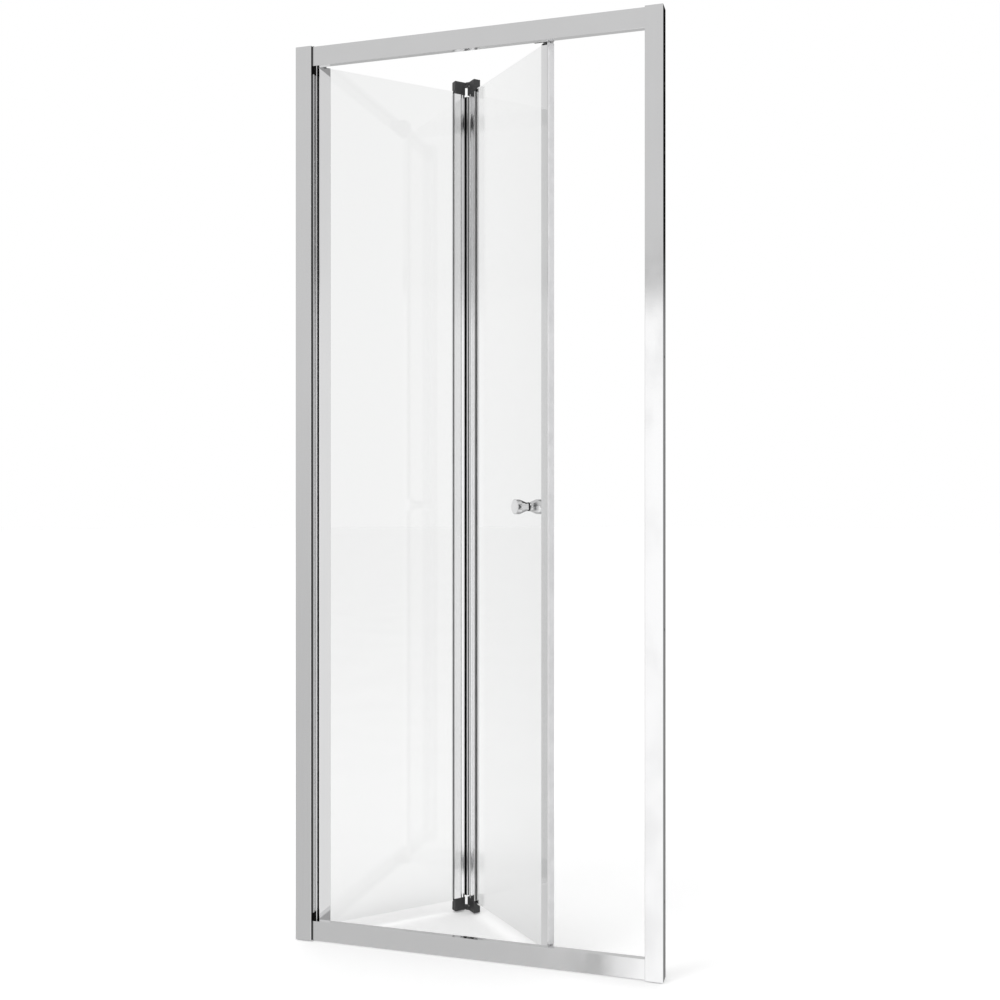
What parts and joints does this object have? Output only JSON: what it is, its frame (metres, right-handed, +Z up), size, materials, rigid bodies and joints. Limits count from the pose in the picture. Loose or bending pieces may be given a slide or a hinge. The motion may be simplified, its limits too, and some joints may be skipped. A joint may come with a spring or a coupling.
{
  "type": "bifold shower door",
  "caption": "Bifold shower door for a recess: two clear glass leaves hinged together fold inwards between wall profiles and rails, with a round knob.",
  "frame": {"origin": "middle of the bottom rail's underside, where it rests on the tray", "axes": "+X along the opening towards the strike side, +Y into the shower, +Z up"},
  "size_m": [0.784, 0.2742, 1.9],
  "materials": {
    "polished_aluminium": "polished silver",
    "knob_chrome": "polished",
    "dark_plastic": "moulded, dark grey",
    "grey_plastic": "moulded, grey",
    "cast_zinc": "satin",
    "black_rubber": "soft, black",
    "grey_rubber": "soft, mid grey",
    "grey_seal": "soft, light grey",
    "clear_strip": "translucent grey",
    "stainless_steel": "plain",
    "white_nylon": "moulded, white",
    "clear_glass": "clear, toughened"
  },
  "bodies": {
    "frame": {"wall_profile_left": "polished_aluminium", "wall_profile_right": "polished_aluminium", "jamb_left": "polished_aluminium", "jamb_right": "polished_aluminium", "jamb_trim": "polished_aluminium", "trim_blocks": "dark_plastic", "jamb_gasket": "black_rubber", "jamb_seal": "black_rubber", "strike_strip": "grey_seal", "jamb_screws": "stainless_steel", "top_rail": "polished_aluminium", "bottom_rail": "polished_aluminium", "corner_blocks": "dark_plastic", "corner_screws": "stainless_steel", "pivot_bracket_top": "cast_zinc", "pivot_bracket_bottom": "cast_zinc", "pivot_bush_top": "white_nylon", "pivot_bush_bottom": "white_nylon", "thrust_washer": "stainless_steel", "bracket_nuts": "stainless_steel", "bracket_screws": "stainless_steel"},
    "pivot_leaf": {"pivot_stile": "polished_aluminium", "pivot_stile_cap_top": "grey_plastic", "pivot_stile_cap_bottom": "grey_plastic", "pivot_pin_top": "stainless_steel", "pivot_pin_bottom": "stainless_steel", "glass_pivot_leaf": "clear_glass", "glazing_strips_pivot_leaf": "clear_strip", "hinge_profile_left": "polished_aluminium", "hinge_cap_top_left": "dark_plastic", "hinge_cap_bottom_left": "dark_plastic", "hinge_glazing_left": "grey_rubber", "hinge_backing_left": "clear_strip", "hinge_gasket": "black_rubber", "hinge_bead": "polished_aluminium", "hinge_pins": "stainless_steel"},
    "leading_leaf": {"hinge_profile_right": "polished_aluminium", "hinge_cap_top_right": "dark_plastic", "hinge_cap_bottom_right": "dark_plastic", "hinge_glazing_right": "grey_rubber", "hinge_backing_right": "clear_strip", "glass_leading_leaf": "clear_glass", "glazing_strips_leading_leaf": "clear_strip", "leading_stile": "polished_aluminium", "leading_stile_cap_top": "grey_plastic", "leading_stile_cap_bottom": "grey_plastic", "magnetic_seal": "grey_seal", "knob_outer": "knob_chrome", "knob_inner": "knob_chrome", "knob_stud": "stainless_steel", "knob_washers": "black_rubber"},
    "top_guide": {"guide_carriage_top": "dark_plastic", "guide_axles_top": "stainless_steel", "guide_pin_top": "stainless_steel"},
    "roller_a": {"guide_roller_top_a": "white_nylon"},
    "roller_b": {"guide_roller_top_b": "white_nylon"},
    "bottom_guide": {"guide_shoe_bottom": "dark_plastic", "guide_pin_bottom": "stainless_steel"}
  },
  "joints": [
    {"name": "leaf_pivot", "type": "hinge", "parent": "frame", "child": "pivot_leaf", "pos_m": [-0.34283, 0.02, 0.022], "axis": [0, 0, 1], "range_deg": [-45, 40]},
    {"name": "centre_hinge", "type": "hinge", "parent": "pivot_leaf", "child": "leading_leaf", "pos_m": [-0.09399, 0.25541, 0.0074], "axis": [0, 0, 1], "range_deg": [-80, 90]},
    {"name": "guide_pivot_top", "type": "hinge", "parent": "leading_leaf", "child": "top_guide", "pos_m": [0.15485, 0.02, 1.864], "axis": [0, 0, 1], "range_deg": [-45, 40]},
    {"name": "guide_pivot_bottom", "type": "hinge", "parent": "leading_leaf", "child": "bottom_guide", "pos_m": [0.15485, 0.02, 0.023], "axis": [0, 0, 1], "range_deg": [-45, 40]},
    {"name": "roller_a_spin", "type": "hinge", "parent": "top_guide", "child": "roller_a", "pos_m": [0.12985, 0.001, 1.885], "axis": [0, 1, 0], "continuous": true},
    {"name": "roller_b_spin", "type": "hinge", "parent": "top_guide", "child": "roller_b", "pos_m": [0.15985, 0.001, 1.885], "axis": [0, 1, 0], "continuous": true}
  ],
  "couplings": [
    {"joint": "centre_hinge", "follows": "leaf_pivot", "ratio": -2},
    {"joint": "guide_pivot_top", "follows": "leaf_pivot", "ratio": 1},
    {"joint": "guide_pivot_bottom", "follows": "leaf_pivot", "ratio": 1}
  ]
}
